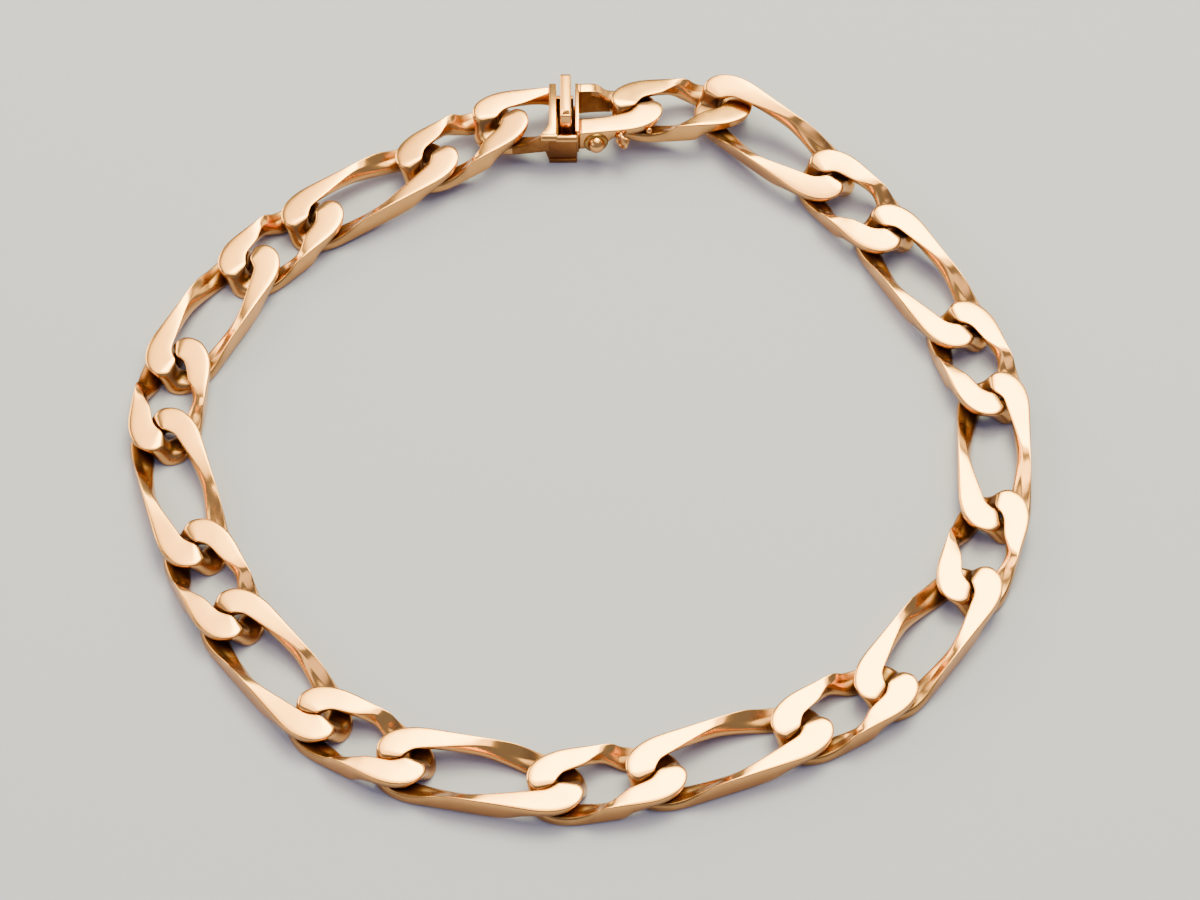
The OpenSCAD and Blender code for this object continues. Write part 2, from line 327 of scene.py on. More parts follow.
def add_prism(bm: bmesh.types.BMesh, outline: Sequence[Corner], start: float, length: float,
              turn: Matrix | None = None) -> None:
    """Adds a flat outline pulled out to a solid.

    Args:
        bm: The mesh that takes it.
        outline: Corners in the outline's own x and y, in order.
        start: Where the first face lies on the outline's own z.
        length: How far it is pulled out along z.
        turn: Puts the outline's own axes in place, if they don't lie there.
    """
    turn = turn or Matrix.Identity(4)
    face = bm.faces.new([bm.verts.new(turn @ Vector((x, y, start))) for x, y in outline])
    pulled = bmesh.ops.extrude_face_region(bm, geom=[face])
    moved = [g for g in pulled["geom"] if isinstance(g, bmesh.types.BMVert)]
    bmesh.ops.translate(bm, vec=turn.to_3x3() @ Vector((0, 0, length)), verts=moved)


def add_rod(bm: bmesh.types.BMesh, start: Sequence[float], end: Sequence[float], radius: float,
            sides: int = ROD_SIDES) -> None:
    """Adds a round rod with rounded ends.

    Args:
        bm: The mesh that takes it.
        start: Middle of one end.
        end: Middle of the other end.
        radius: Radius of the rod.
        sides: Number of sides.
    """
    a, b = Vector(start), Vector(end)
    turn = (b - a).to_track_quat("Z", "Y").to_matrix().to_4x4()
    made = bmesh.ops.create_cone(bm, cap_ends=True, cap_tris=False, segments=sides, radius1=radius,
                                 radius2=radius, depth=(b - a).length,
                                 matrix=Matrix.Translation((a + b) / 2) @ turn)
    rims = [e for e in {e for v in made["verts"] for e in v.link_edges}
            if math.degrees(e.calc_face_angle(0.0)) > RIM_ANGLE]
    width = min(radius, (b - a).length * RIM_SHARE) / 2
    bmesh.ops.bevel(bm, geom=rims, offset=width, offset_type="OFFSET", affect="EDGES",
                    segments=RIM_STEPS, profile=0.5, material=-1, clamp_overlap=True)


def add_ball(bm: bmesh.types.BMesh, centre: Sequence[float], radius: float) -> None:
    """Adds a ball.

    Args:
        bm: The mesh that takes it.
        centre: Its centre.
        radius: Its radius.
    """
    bmesh.ops.create_uvsphere(bm, u_segments=BALL_SIDES, v_segments=BALL_RINGS, radius=radius,
                              matrix=Matrix.Translation(Vector(centre)))


def add_ring(bm: bmesh.types.BMesh, centre: Sequence[float], radius: float, wire: float,
             turn: Matrix) -> None:
    """Adds a ring of round wire.

    Args:
        bm: The mesh that takes it.
        centre: Centre of the ring.
        radius: From the centre to the middle of the wire.
        wire: Radius of the wire.
        turn: Puts the ring's own axis, z, in place.
    """
    before = set(bm.verts)
    upright = Matrix.Translation((radius, 0, 0)) @ Matrix.Rotation(math.pi / 2, 4, "X")
    made = bmesh.ops.create_circle(bm, cap_ends=False, segments=WIRE_SIDES, radius=wire, matrix=upright)
    loop = made["verts"] + list({e for v in made["verts"] for e in v.link_edges})
    bmesh.ops.spin(bm, geom=loop, cent=(0, 0, 0), axis=(0, 0, 1), angle=2 * math.pi,
                   steps=RING_STEPS, use_merge=True)
    bmesh.ops.transform(bm, matrix=Matrix.Translation(Vector(centre)) @ turn,
                        verts=[v for v in bm.verts if v not in before])


# Links

@dataclass(frozen=True)
class LinkShape:
    """The form of a curb link: a half round wire that turns over once along each arm.

    Lengths are in millimetres. Sections have eight corners: up the outer wall, over the top face,
    down the inner side and back out along the underside.
    """

    half_w: float = 2.6
    half_t: float = 0.85
    # How far the end reaches past the crossing, and the play past the neighbour's end, where the
    # arm's own section starts
    end_reach: float = 1.9
    gap: float = 0.2
    # Depth of the arm's wire, from the outer wall inward
    arm_w: float = 0.95
    # Corners of the arm's section: depth inward as a share of the arm's depth, height as a share of
    # half_t. The flats reach further in than the CAD's, so that rounding leaves them as broad.
    arm: tuple[Corner, ...] = (
        (0, 0.86), (0.07, 0.97), (0.62, 0.88), (1, 0.3),
        (1, -0.3), (0.62, -0.88), (0.07, -0.97), (0, -0.86))
    # Sections of the hooked end by the angle turned: distance as a share of half_w, height as above
    hook: tuple[tuple[float, tuple[Corner, ...]], ...] = (
        (0, ((1, 0.9), (0.98, 1), (0.31, 1), (0.37, 0.6),
             (0.55, 0.2), (0.74, 0.12), (0.95, 0.16), (1, 0.42))),
        (25, ((1, 0.9), (0.98, 1), (0.25, 1), (0.31, 0.55),
              (0.47, 0.14), (0.74, 0.12), (0.95, 0.12), (1, 0.4))),
        (45, ((1.04, 0.9), (1.02, 1), (0.235, 1), (0.265, 0.45),
              (0.42, 0.12), (0.76, 0.12), (0.95, 0.12), (1.03, 0.34))),
        (58, ((1.07, 0.9), (1.05, 1), (0.24, 1), (0.27, 0.35),
              (0.45, 0.12), (0.7, 0.12), (0.88, 0.12), (1.01, 0.3))),
        (70, ((1.07, 0.88), (1.04, 1), (0.255, 1), (0.28, 0.2),
              (0.4, 0), (0.6, -0.02), (0.8, 0), (0.95, 0.24))),
        (81, ((1.05, 0.8), (1.02, 1), (0.275, 1), (0.29, 0.1),
              (0.34, -0.4), (0.47, -0.93), (0.8, -0.9), (0.93, -0.25))),
        (90, ((1, 0.5), (0.93, 0.97), (0.32, 0.97), (0.3, 0.3),
              (0.3, -0.3), (0.32, -0.97), (0.93, -0.97), (1, -0.5))))
    # Stations along an arm: place from the hook to the far end, then the share of the hook's section
    # in the upper corners, the inner lower ones and the outer lower ones
    stations: tuple[tuple[float, float, float, float], ...] = (
        (1, 0, 0, 0), (0.62, 0.25, 0.42, 0), (0.27, 0.5, 0.78, 0.12), (0, 0.72, 1, 0.6))
    # How far in from each edge of a flat face its supporting corners lie, and how far they stand
    # proud of it, as shares of the width of the face
    support: float = 0.18
    crown: float = 0.014
    # Corners along which the inner edges of the flats run, and how sharp those edges are, at the
    # hook and along the arm
    creased: tuple[int, ...] = (4, 7)
    crease_hook: float = 0.75
    crease_arm: float = 0.5
    # How much painted shade, with raised roughness, each of the twelve corners gets, where the wire
    # hooks through its neighbour
    shade_and_dulling: tuple[float, ...] = (0.15, 0, 0, 0, 0.15, 0.9, 1, 0.9, 0.8, 0.8, 0.8, 0.5)
    # Share of that painted shade and roughness which an arm has
    arm_shade_and_dulling: float = 0.12
    # Slant of the cut ends of a half link, as x over y
    skew: float = 0.0

    @property
    def turn_x(self) -> float:
        """Centre of the hooked end's turn, from the crossing."""
        return self.half_w - self.end_reach

    @property
    def overhang(self) -> float:
        """How far the widest section of the end reaches past the crossing."""
        reaches = [r * self.half_w * math.sin(math.radians(a))
                   for a, corners in self.hook for r, _ in corners]
        return max(reaches) - self.turn_x

    @property
    def half_steps(self) -> int:
        """Number of sections from the first of a half link to the last, where the other half starts."""
        return len(self.hook) * 2 + len(self.stations) * 2 - 2

    def widened(self, corners: list[Corner]) -> list[Corner]:
        """Adds supporting corners inside the two flat faces, so that rounding keeps them almost flat.

        Args:
            corners: The eight corners of a section.

        Returns:
            Twelve corners.
        """
        def supports(a: Corner, b: Corner, proud: float) -> list[Corner]:
            rise = abs(a[0] - b[0]) * proud
            return [(a[0] + (b[0] - a[0]) * s, a[1] + (b[1] - a[1]) * s + rise)
                    for s in (self.support, 1 - self.support)]

        top, under = (corners[1], corners[2]), (corners[5], corners[6])
        return (corners[:2] + supports(*top, self.crown) + corners[2:6]
                + supports(*under, -self.crown) + corners[6:])

    def quarter(self, reach: float, skew: float = 0.0) -> list[Section]:
        """Works out the sections from the far end of the arm at +Y to the end of the link at -X.

        Args:
            reach: Length of the arm, from the crossing.
            skew: Slant of the arm's far end.

        Returns:
            Sections of twelve points, measured from the crossing.
        """
        arm = [(self.half_w - d * self.arm_w, h * self.half_t) for d, h in self.arm]
        hooks = [(a, [(r * self.half_w, h * self.half_t) for r, h in corners])
                 for a, corners in self.hook]
        start = self.end_reach + self.gap
        sections = []
        for place, above, inner, outer in self.stations:
            shares = [above] * 4 + [inner] * 2 + [outer] * 2
            corners = [(a[0] + (b[0] - a[0]) * s, a[1] + (b[1] - a[1]) * s)
                       for a, b, s in zip(arm, hooks[0][1], shares)]
            sections.append([Vector((start + (reach + skew * y - start) * place, y, z))
                             for y, z in self.widened(corners)])
        for angle, corners in hooks:
            s, c = math.sin(math.radians(angle)), math.cos(math.radians(angle))
            sections.append([Vector((self.turn_x - r * s, r * c, z)) for r, z in self.widened(corners)])
        return sections

    def half(self, reach: float) -> list[Section]:
        """Works out the left half of a link, from the arm at +Y round the end to the arm at -Y.

        Args:
            reach: Length of the arms, from the crossing.

        Returns:
            The sections in order.
        """
        other = self.quarter(reach, -self.skew)[:-1]
        flipped = [[Vector((p.x, -p.y, -p.z)) for p in reversed(section)] for section in reversed(other)]
        return self.quarter(reach, self.skew) + flipped

    def whole(self, pitch: float) -> list[Section]:
        """Works out the sections of a whole link about its own middle.

        Args:
            pitch: Distance between the two crossings.

        Returns:
            The sections in order, without a second copy of the first one.
        """
        out = Vector((pitch / 2, 0, 0))
        half = [[p - out for p in section] for section in self.half(pitch / 2)][:-1]
        return half + [[Vector((-p.x, -p.y, p.z)) for p in section] for section in half]

    def hooked(self, i: int) -> bool:
        """Says whether a section belongs to the hooked end.

        Args:
            i: Number of the section, in the order of half or whole.

        Returns:
            False for the sections of an arm.
        """
        step = i % self.half_steps
        return min(step, self.half_steps - step) >= len(self.stations) - 1

    def shade_and_dulling_of(self, i: int, k: int) -> float:
        """Says how much painted shade and raised roughness a corner gets. The far half of an end is the
        near half turned over.

        Args:
            i: Number of the section, in the order of half or whole.
            k: Number of the corner in its section.

        Returns:
            0 in the open, 1 for the full painted shade of the deepest crevices.
        """
        turned_over = i % self.half_steps > self.half_steps / 2
        share = self.shade_and_dulling[len(self.shade_and_dulling) - 1 - k if turned_over else k]
        return share * (1.0 if self.hooked(i) else self.arm_shade_and_dulling)


def loft(bm: bmesh.types.BMesh, sections: list[Section], closed: bool, shape: LinkShape,
         place: Matrix | None = None) -> None:
    """Skins sections with strips of faces and creases the inner edges of the flats.

    Args:
        bm: The mesh that takes the skin.
        sections: Loops of points in order.
        closed: Joins the last section to the first, or else caps both ends.
        shape: Gives the creases, the painted crevice shade and where the arms end.
        place: Puts the points in place, if they don't lie there.
    """
    place = place or Matrix.Identity(4)
    crease = bm.edges.layers.float.get("crease_edge") or bm.edges.layers.float.new("crease_edge")
    shade_and_dulling = bm.verts.layers.float.get(SHADE_AND_DULLING) or bm.verts.layers.float.new(SHADE_AND_DULLING)
    loops: list[list[bmesh.types.BMVert]] = []
    rings: list[list[bmesh.types.BMEdge]] = []
    for i, section in enumerate(sections):
        verts = [bm.verts.new(place @ p) for p in section]
        for k, vert in enumerate(verts):
            # Painted shade: each corner's share of the darker crevice colour, which also raises its
            # roughness
            vert[shade_and_dulling] = shape.shade_and_dulling_of(i, k)
        loops.append(verts)
        rings.append([bm.edges.new((verts[k], verts[(k + 1) % len(verts)])) for k in range(len(verts))])
    count = len(sections)
    spans = [(i, (i + 1) % count) for i in range(count if closed else count - 1)]
    for i, j in spans:
        bmesh.ops.bridge_loops(bm, edges=rings[i] + rings[j])
        for k in shape.creased:
            edge = bm.edges.get((loops[i][k], loops[j][k]))
            edge[crease] = shape.crease_hook if shape.hooked(i) else shape.crease_arm
    if not closed:
        for ring in (rings[0], rings[-1]):
            bmesh.ops.contextual_create(bm, geom=ring)
            for edge in ring:
                edge[crease] = 1.0


def node_points(name: str) -> np.ndarray:
    """Reads where a CAD node's corners are.

    Args:
        name: Name of the node.

    Returns:
        One row for each different corner, in millimetres.
    """
    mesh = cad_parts[name].data
    flat = np.empty(len(mesh.vertices) * 3)
    mesh.vertices.foreach_get("co", flat)
    return np.unique(np.round(flat.reshape(-1, 3) / MM, SAME_PLACES), axis=0)


@dataclass
class Chain:
    """The full links. Each one follows its CAD node, whose place is found from the node's corners."""

    shape: LinkShape = field(default_factory=LinkShape)
    prefix: str = "link_"

    def pose(self, points: np.ndarray) -> tuple[Matrix, float]:
        """Finds where a link lies, from the axes along which its corners spread most and least.

        Args:
            points: Corners of the CAD link, in millimetres.

        Returns:
            The link's place and its length along its own x.
        """
        middle = points.mean(axis=0)
        away = points - middle
        _, axes = np.linalg.eigh(away.T @ away)
        along, across = axes[:, 2], axes[:, 1]
        spread = away @ along
        up = np.cross(along, across)
        if up[2] < 0:
            across, up = -across, -up
        turn = Matrix((along, across, up)).transposed().to_4x4()
        return Matrix.Translation(Vector(middle)) @ turn, float(spread.max() - spread.min())

    def build(self) -> int:
        """Builds every link.

        Returns:
            The number of links.
        """
        names = sorted(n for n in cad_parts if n.startswith(self.prefix))
        for name in names:
            place, length = self.pose(node_points(name))
            pitch = length - 2 * self.shape.overhang
            bm = bmesh.new()
            loft(bm, self.shape.whole(pitch), True, self.shape, place)
            smoothed(piece("rounded_" + name, bm, [Finish.POLISHED], name))
        return len(names)


# Clasp

@dataclass
class Clasp:
    """The box clasp between the two half links.

    Lengths are in millimetres, from the middle between the half links. The box and the tongue are
    built square to the axes and then turned.
    """

    # Degrees by which box and tongue are turned, and how far they lie left of the middle
    turn: float = -6.5
    shift: float = 0.27
    # Half the length over both end plates, and half the distance between the crossings
    half_len: float = 1.135
    half_pitch: float = 5.25
    height: float = 2.85
    # Width of the rounding of straight edges, and play between box and tongue
    edge: float = 0.05
    gap: float = 0.12
    # Overlaps between parts that are soldered together: deep ones and those of flush faces
    embed: float = 0.06
    set_in: float = 0.1
    lap: float = 0.02
    # End plates. The top of the box's plate is a slab that flares out over the near wall.
    # Flare: share of the wall's lean, distance in from the near wall
    box_plate: float = 0.55
    tongue_plate: float = 0.3
    plate_lap: float = 0.03
    slab_t: float = 0.45
    slab_lap: float = 0.05
    flare: tuple[Corner, ...] = ((1, -0.1), (0.6, 0.28), (0.165, 0.8), (0, 1.3))
    # Walls and floor. The lean is a share of the box's plate, the far wall's height one of the box's
    wall_y: float = 2.355
    wall_t: float = 0.36
    wall_lean: float = 1.1
    far_wall: float = 0.55
    ledge: float = 0.1
    floor_t: float = 0.4
    # Rim of the near wall, in two rods: the left one lies higher, the right one further out
    rim_r: float = 0.3
    rim_in: float = 0.04
    rim_past: float = 0.05
    rim_lift: float = 0.07
    rim_over: float = 0.14
    rim_out: float = 0.06
    # Sprung leaf. The upper strip's height is a share of the box's
    leaf_t: float = 0.28
    leaf_rise: float = 0.6
    # Thumb bar and the pocket in its top
    bar_len: float = 0.83
    bar_rise: float = 1.4
    bar_near: float = 1.956
    bar_edge: float = 0.12
    bar_sharp: float = 40.0
    pocket: float = 0.51
    pocket_in: float = 0.14
    pocket_deep: float = 0.3
    pocket_rim: float = 0.08
    # Ball stud. Its distance from the tongue's plate is in ball radii.
    ball_r: float = 0.65
    ball_from: float = 1.48
    ball_out: float = 0.27
    ball_up: float = 0.08
    collar_r: float = 0.925
    collar_t: float = 0.39
    # Eye with its bead and post, whose distance from the ball is in ball radii too, and the drop
    # of solder, whose place is measured from the right crossing
    eye_from: float = 2.9
    eye_r: float = 0.494
    eye_wire: float = 0.15
    eye_turn: float = 35.0
    post_rise: float = 0.66
    bead_r: float = 0.351
    drop_r: float = 0.24
    drop_x: float = 0.62
    drop_in: float = 0.2
    drop_up: float = 0.35
    # Solder on the near arms starts this far from the crossing. On the tongue's side it covers
    # only faces that look inward by at least solder_facing.
    box_solder: float = 1.2
    tongue_solder: float = 1.5
    solder_facing: float = 0.5
    # Arm and stations of the tongue's half link, square and wide up to the end plate
    wide_arm: tuple[Corner, ...] = (
        (0, 0.92), (0.06, 1), (0.92, 1), (1, 0.9), (1, -0.9), (0.92, -1), (0.06, -1), (0, -0.92))
    wide_stations: tuple[tuple[float, float, float, float], ...] = (
        (1, 0.72, 0, 0), (0.5, 0.7, 0.02, 0), (0.16, 0.76, 0.4, 0.26), (0, 0.8, 1, 1))

    @property
    def skew(self) -> float:
        """Slant of the half links' cut ends, which lie along the turned plates."""
        return -math.tan(math.radians(self.turn))

    @property
    def left(self) -> float:
        """Outer face of the box's end plate."""
        return -self.half_len - self.shift

    @property
    def right(self) -> float:
        """Outer face of the tongue's end plate."""
        return self.half_len - self.shift

    @property
    def wall_x1(self) -> float:
        """Right end of the near wall and of the floor."""
        return self.right - self.gap - self.embed

    @property
    def outer_y(self) -> float:
        """Outer faces of the walls."""
        return self.wall_y + self.wall_t

    @property
    def side_y(self) -> float:
        """Near edge of the tongue's end plate."""
        return self.wall_y - self.gap - self.plate_lap

    @property
    def lean(self) -> float:
        """How far the near wall leans out past the end plate at its top."""
        return self.box_plate * self.wall_lean

    @property
    def link_z(self) -> float:
        """Height of the middle of the half links."""
        return self.height - LinkShape.half_t

    @property
    def bar_x(self) -> float:
        """Middle of the thumb bar, between the two end plates."""
        return (self.left + self.box_plate + self.right - self.tongue_plate) / 2

    @property
    def middle(self) -> Vector:
        """The clasp's own origin in the scene, from the CAD box half, whose faces are known."""
        high = node_points("clasp_box").max(axis=0)
        s, c = math.sin(math.radians(self.turn)), math.cos(math.radians(self.turn))
        far_right = self.wall_x1 * c - self.outer_y * s
        back = (self.outer_y + self.plate_lap) * c + self.left * s
        return Vector((high[0] - far_right, high[1] - back, 0))

    def finished(self, name: str, bm: bmesh.types.BMesh, finishes: Sequence[Finish], node: str,
                 turned: bool = True) -> bpy.types.Object:
        """Moves a mesh from the clasp's own origin to its place and makes it a piece.

        Args:
            name: Name of the piece.
            bm: The mesh.
            finishes: Its finishes.
            node: The CAD node it stands for.
            turned: Whether it turns with the box.

        Returns:
            The piece.
        """
        if turned:
            bmesh.ops.rotate(bm, cent=(0, 0, 0), matrix=Matrix.Rotation(math.radians(self.turn), 3, "Z"),
                             verts=bm.verts)
        bmesh.ops.translate(bm, vec=self.middle, verts=bm.verts)
        return piece(name, bm, finishes, node)

    def half_link(self, name: str, shape: LinkShape, right: bool,
                  rough: Callable[[Vector, Vector], bool], node: str) -> None:
        """Builds one half link, with solder left on a part of it.

        Args:
            name: Name of the piece.
            shape: Form of the link.
            right: Whether it is the one at the right end.
            rough: Tells whether a face is soldered, from its middle, measured from the crossing, and
                its normal.
            node: The CAD node it stands for.
        """
        bm = bmesh.new()
        reach = self.half_pitch - (self.right if right else -self.left) + self.embed
        loft(bm, shape.half(reach), False, shape)
        bmesh.ops.recalc_face_normals(bm, faces=bm.faces)
        for face in bm.faces:
            face.material_index = 1 if rough(face.calc_center_median(), face.normal) else 0
        if right:
            bmesh.ops.rotate(bm, cent=(0, 0, 0), matrix=Matrix.Rotation(math.pi, 3, "Z"),
                             verts=bm.verts)
        x = self.half_pitch if right else -self.half_pitch
        bmesh.ops.translate(bm, vec=(x, 0, self.link_z), verts=bm.verts)
        smoothed(self.finished(name, bm, [Finish.POLISHED, Finish.SOLDERED], node, False))

    def build_box(self) -> None:
        """Builds the box half: end plate, walls, rim, floor and its half link."""
        node = "clasp_box"
        x0, x1 = self.left, self.left + self.box_plate
        near, far = -self.wall_y, self.outer_y + self.plate_lap
        self.build_box_plate(x0, x1, near, far, node)
        rim_z = self.height - self.rim_r
        bm = bmesh.new()
        wall = [(x0 + self.lap, self.lap), (self.wall_x1, self.lap), (self.wall_x1, rim_z),
                (x0 - self.lean, rim_z), (x0 - self.lean, rim_z - self.lean / 2)]
        add_prism(bm, wall, self.wall_y, self.wall_t, Matrix.Rotation(math.pi / 2, 4, "X"))
        far_end = self.right - self.tongue_plate - self.gap
        add_block(bm, (x0 + self.set_in, self.wall_y, self.lap),
                  (far_end, self.outer_y, self.height * self.far_wall))
        add_block(bm, (x0, -self.outer_y - self.ledge, 0), (self.wall_x1, self.outer_y, self.floor_t))
        round_over(bm, self.edge)
        # Painted shade: the walls take the darker, browner filed colour
        self.finished("box_walls", bm, [Finish.FILED_SHADED], node)
        bm = bmesh.new()
        y, z = near - self.rim_r + self.rim_in, rim_z + self.rim_lift
        add_rod(bm, (x0 - self.lean - self.rim_past, y, z), (x1 + self.rim_over, y, z), self.rim_r)
        y -= self.rim_out
        add_rod(bm, (x1 - self.set_in, y, rim_z), (self.wall_x1 + self.rim_past, y, rim_z), self.rim_r)
        self.finished("box_rim", bm, [Finish.POLISHED], node)
        self.half_link("box_half_link", LinkShape(skew=self.skew), False,
                       lambda p, n: p.y < 0 and p.x > self.box_solder, node)

    def build_box_plate(self, x0: float, x1: float, near: float, far: float, node: str) -> None:
        """Builds the box's end plate, whose top flares out over the near wall.

        Args:
            x0: Its outer face.
            x1: Its inner face.
            near: The near wall's inner face.
            far: The plate's far edge.
            node: The CAD node it stands for.
        """
        flare = [(x0 - self.lean * share, near + inward) for share, inward in self.flare]
        slab = [(x0, far), (x1, far), (x1, flare[0][1])] + flare
        bm = bmesh.new()
        add_prism(bm, slab, self.height - self.slab_t, self.slab_t)
        add_block(bm, (x0, near, self.set_in), (x1, far, self.height - self.slab_t + self.slab_lap))
        round_over(bm, self.edge)
        self.finished("box_end_plate", bm, [Finish.POLISHED], node)

    def build_tongue(self) -> None:
        """Builds the tongue half: end plate, sprung leaf, thumb bar and its half link."""
        node = "clasp_tongue"
        x0, x1 = self.right - self.tongue_plate, self.right
        foot = self.floor_t + self.gap
        bm = bmesh.new()
        add_block(bm, (x0, -self.side_y, foot), (x1, self.outer_y + self.plate_lap, self.height))
        round_over(bm, self.edge)
        self.finished("tongue_end_plate", bm, [Finish.POLISHED], node)
        low, high = foot + self.leaf_t, self.height * self.leaf_rise
        self.build_leaf(x0 + self.edge, low, high, node)
        self.build_bar(high + self.leaf_t / 2, node)
        wide = LinkShape(skew=self.skew, arm=self.wide_arm, stations=self.wide_stations)
        self.half_link(
            "tongue_half_link", wide, True,
            lambda p, n: p.y < 0 and p.x > self.tongue_solder and n.y > self.solder_facing, node)

    def build_leaf(self, end: float, low: float, high: float, node: str) -> None:
        """Builds the sprung leaf: a strip from the end plate to the left, folded back over itself.

        Args:
            end: Where it starts, inside the end plate.
            low: Top of its lower strip.
            high: Underside of its upper strip.
            node: The CAD node it stands for.
        """
        fold_r = (high - low) / 2 + self.leaf_t
        inner_r = fold_r - self.leaf_t
        fold_x = self.left + self.box_plate + self.gap + fold_r
        mid_z = (low + high) / 2
        turns = [math.pi / 2 + math.pi * i / FOLD_STEPS for i in range(FOLD_STEPS + 1)]
        outline = [(self.bar_x, high + self.leaf_t)]
        outline += [(fold_x + fold_r * math.cos(a), mid_z + fold_r * math.sin(a)) for a in turns]
        outline += [(end, low - self.leaf_t), (end, low)]
        outline += [(fold_x + inner_r * math.cos(a), mid_z + inner_r * math.sin(a))
                    for a in reversed(turns)]
        outline += [(self.bar_x, high)]
        bm = bmesh.new()
        leaf_y = self.side_y - self.leaf_t
        add_prism(bm, outline, -leaf_y, 2 * leaf_y, Matrix.Rotation(math.pi / 2, 4, "X"))
        self.finished("tongue_leaf", bm, [Finish.FILED_SHADED], node)

    def build_bar(self, low: float, node: str) -> None:
        """Builds the thumb bar with its rounded far end and the small square pocket at its near end.

        Args:
            low: Height of its foot.
            node: The CAD node it stands for.
        """
        top, r = self.height + self.bar_rise, self.bar_len / 2
        bar_far = self.outer_y - self.gap
        turns = [math.pi / 2 * i / BAR_STEPS for i in range(BAR_STEPS + 1)]
        arc = [(bar_far - r + r * math.sin(a), top - r + r * math.cos(a)) for a in turns]
        outline = [(-self.bar_near, low), (-self.bar_near, top)] + arc + [(bar_far, low)]
        bm = bmesh.new()
        along_x = Matrix(((0, 0, 1, 0), (1, 0, 0, 0), (0, 1, 0, 0), (0, 0, 0, 1)))
        add_prism(bm, outline, self.bar_x - self.bar_len / 2, self.bar_len, along_x)
        round_over(bm, self.bar_edge, self.bar_sharp)
        self.sink_pocket(bm, top)
        self.finished("thumb_bar", bm, [Finish.POLISHED], node)

    def sink_pocket(self, bm: bmesh.types.BMesh, top: float) -> None:
        """Sinks the small square pocket in the top of the thumb bar, near its near end.

        Args:
            bm: The bar.
            top: Height of its top face.
        """
        start = self.pocket_in - self.bar_near
        for y in (start, start + self.pocket):
            bmesh.ops.bisect_plane(bm, geom=bm.verts[:] + bm.edges[:] + bm.faces[:], dist=1e-5,
                                   plane_co=(0, y, 0), plane_no=(0, 1, 0))
        middle = start + self.pocket / 2
        lid = [f for f in bm.faces if f.calc_center_median().z > top - SAME_MM
               and abs(f.calc_center_median().y - middle) < self.edge]
        bmesh.ops.inset_region(bm, faces=lid, thickness=self.pocket_rim, use_even_offset=True)
        pulled = bmesh.ops.extrude_face_region(bm, geom=lid)
        sunk = [g for g in pulled["geom"] if isinstance(g, bmesh.types.BMVert)]
        bmesh.ops.translate(bm, vec=(0, 0, -self.pocket_deep), verts=sunk)
        bmesh.ops.delete(bm, geom=[f for f in lid if f.is_valid], context="FACES")

    def build_stud(self) -> None:
        """Builds the ball on its collar and the small eye with its bead."""
        node = "clasp_tongue"
        near = -LinkShape.half_w
        x, z = self.right + self.ball_r * self.ball_from, self.link_z - self.collar_r / 4
        eye = (x + self.ball_r * self.eye_from, near - self.eye_r, self.link_z + self.eye_wire)
        bm = bmesh.new()
        add_ball(bm, (x, near - self.ball_out, z + self.ball_up), self.ball_r)
        add_ball(bm, (eye[0] + self.eye_r / 2, eye[1], eye[2]), self.bead_r)
        add_ball(bm, (self.half_pitch + self.drop_x, near + self.drop_in, self.link_z + self.drop_up),
                 self.drop_r)
        self.finished("stud_ball", bm, [Finish.POLISHED], node, False)
        bm = bmesh.new()
        half = self.collar_t / 2
        add_rod(bm, (x, near + half, z), (x, near - half, z), self.collar_r, ROD_SIDES * 3 // 2)
        self.finished("stud_collar", bm, [Finish.TURNED], node, False)
        bm = bmesh.new()
        leaning = (Matrix.Rotation(math.radians(self.eye_turn), 4, "Z")
                   @ Matrix.Rotation(math.pi / 2, 4, "Y"))
        add_ring(bm, eye, self.eye_r, self.eye_wire, leaning)
        post_z = self.link_z + LinkShape.half_t * self.post_rise
        add_rod(bm, (eye[0], near + self.eye_wire, post_z), (eye[0], eye[1], post_z), self.eye_wire,
                WIRE_SIDES)
        self.finished("catch_eye", bm, [Finish.POLISHED], node, False)

    def build(self) -> None:
        """Builds both halves and the stud."""
        self.build_box()
        self.build_tongue()
        self.build_stud()


# Stage

@dataclass(frozen=True)
class SoftLight:
    """A square of soft light that looks at the bracelet.

    Angles are in degrees: way is counter-clockwise from +X, rise is above the floor. Lengths are in
    metres and the power is in watts.
    """

    name: str
    way: float
    rise: float
    away: float
    width: float
    height: float
    power: float
    colour: str

    def build(self) -> None:
        """Hangs the light."""
        light = bpy.data.lights.new(self.name, "AREA")
        light.shape = "RECTANGLE"
        light.size = self.width
        light.size_y = self.height
        light.energy = self.power
        light.color = linear(self.colour)[:3]
        obj = bpy.data.objects.new(self.name, light)
        bpy.context.scene.collection.objects.link(obj)
        a, e = math.radians(self.way), math.radians(self.rise)
        at = Vector((math.cos(a) * math.cos(e), math.sin(a) * math.cos(e), math.sin(e))) * self.away
        obj.location = at
        obj.rotation_euler = (-at).to_track_quat("-Z", "Y").to_euler()


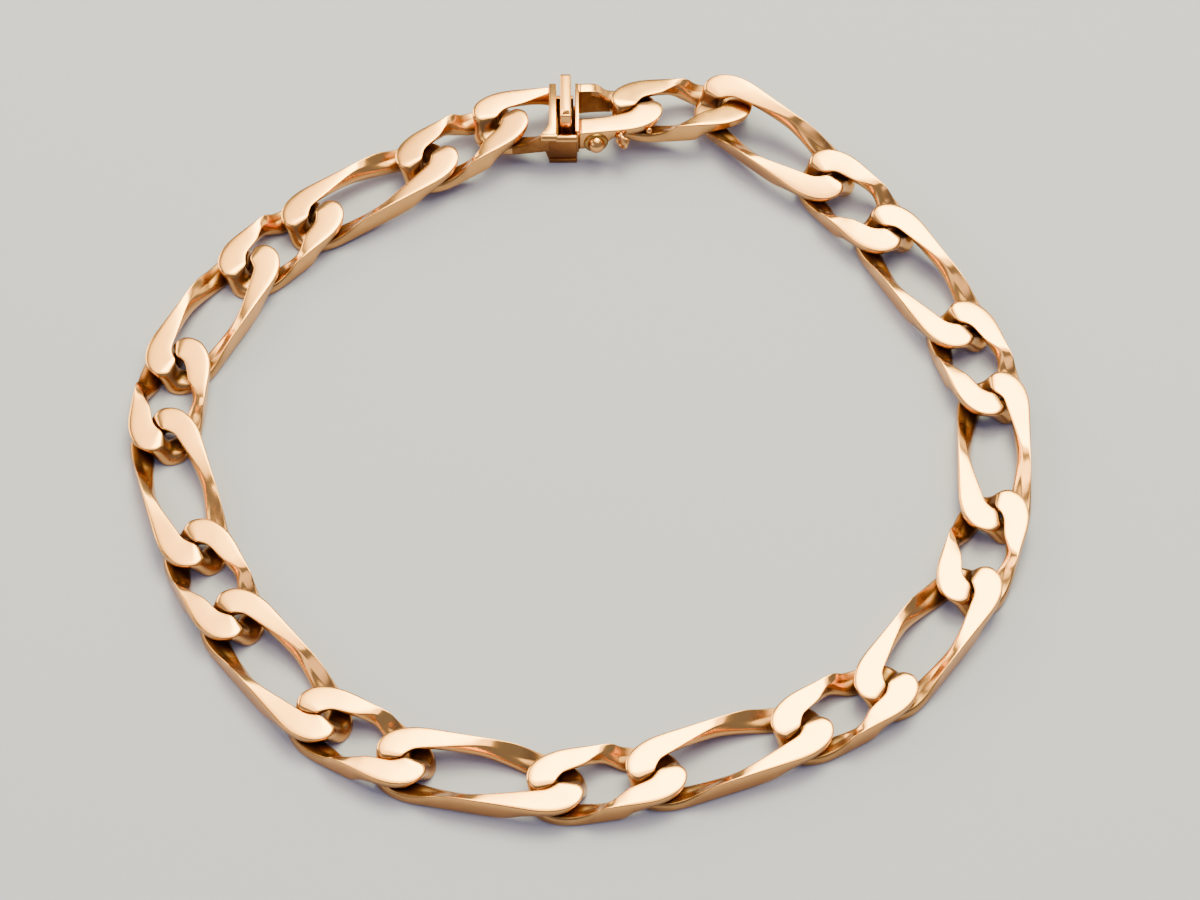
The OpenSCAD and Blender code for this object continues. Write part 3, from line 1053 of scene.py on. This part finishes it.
@dataclass
class Studio:
    """Pale floor, soft lights and the camera at the photo's angle. Lengths are in metres."""

    floor_size: float = 1.6
    # The lights are warm, so the card is bluish: under them it looks a pale, even grey
    floor_finish: Card = Card("pale matt card", "a9b1df", 0.6)
    sky: str = "d2d9e8"
    sky_strength: float = 0.5
    # Camera, fitted to the crossings in the photo. Heading and pitch, which looks down, in degrees
    camera_at: tuple[float, float, float] = (-0.02037, -0.17623, 0.22356)
    heading: float = 82.98
    pitch: float = 51.7
    # Lens and sensor in millimetres, and the nearest distance that is drawn
    lens: float = 120.0
    sensor_mm: float = 36.0
    nearest: float = 0.01
    # The wide light gives the flats their gold, the core the near white ones on the near and right
    # links. The low lights behind fill the sloping halves of the arms, the side light the walls.
    lights: tuple[SoftLight, ...] = (
        SoftLight("overhead", 58, 70, 0.6, 0.66, 0.62, 6.8, "ffe8a4"),
        SoftLight("core", 68, 57, 0.59, 0.26, 0.26, 3.9, "fbfaae"),
        SoftLight("back left", 137, 23, 0.62, 0.42, 0.36, 4.0, "ffeaaa"),
        SoftLight("back right", 40, 18, 0.64, 0.36, 0.3, 0.8, "ffeaaa"),
        SoftLight("side", 200, 30, 0.7, 0.4, 0.3, 0.8, "ffeccf"))

    def build_floor(self) -> None:
        """Lays the floor just under the bracelet."""
        bm = bmesh.new()
        bmesh.ops.create_grid(bm, x_segments=1, y_segments=1, size=self.floor_size / 2)
        mesh = bpy.data.meshes.new("floor")
        bm.to_mesh(mesh)
        bm.free()
        floor = bpy.data.objects.new("floor", mesh)
        bpy.context.scene.collection.objects.link(floor)
        mesh.materials.append(self.floor_finish.material())

    def build_sky(self) -> None:
        """Sets the even light that comes from all round."""
        world = bpy.data.worlds.new("studio")
        bpy.context.scene.world = world
        world.use_nodes = True
        tree = world.node_tree
        tree.nodes.clear()
        back = add_node(tree, "ShaderNodeBackground", {
            "Color": linear(self.sky), "Strength": self.sky_strength})
        add_node(tree, "ShaderNodeOutputWorld", {"Surface": back.outputs["Background"]})

    def build_camera(self) -> None:
        """Puts the camera where the photo was taken from."""
        camera = bpy.data.cameras.new("camera")
        camera.lens = self.lens
        camera.sensor_fit = "HORIZONTAL"
        camera.sensor_width = self.sensor_mm
        camera.clip_start = self.nearest
        camera.dof.use_dof = False
        obj = bpy.data.objects.new("camera", camera)
        bpy.context.scene.collection.objects.link(obj)
        obj.location = Vector(self.camera_at)
        obj.rotation_euler = (math.radians(90 - self.pitch), 0, math.radians(self.heading - 90))
        bpy.context.scene.camera = obj

    def build(self) -> None:
        """Builds the floor, the lights and the camera."""
        self.build_floor()
        self.build_sky()
        for light in self.lights:
            light.build()
        self.build_camera()


def main() -> None:
    """Builds the bracelet's looks and the stage in order."""
    logging.basicConfig(level=logging.INFO, format="%(message)s")
    LOG.info("links: %d", Chain().build())
    Clasp().build()
    Studio().build()


if __name__ == "__main__":
    main()
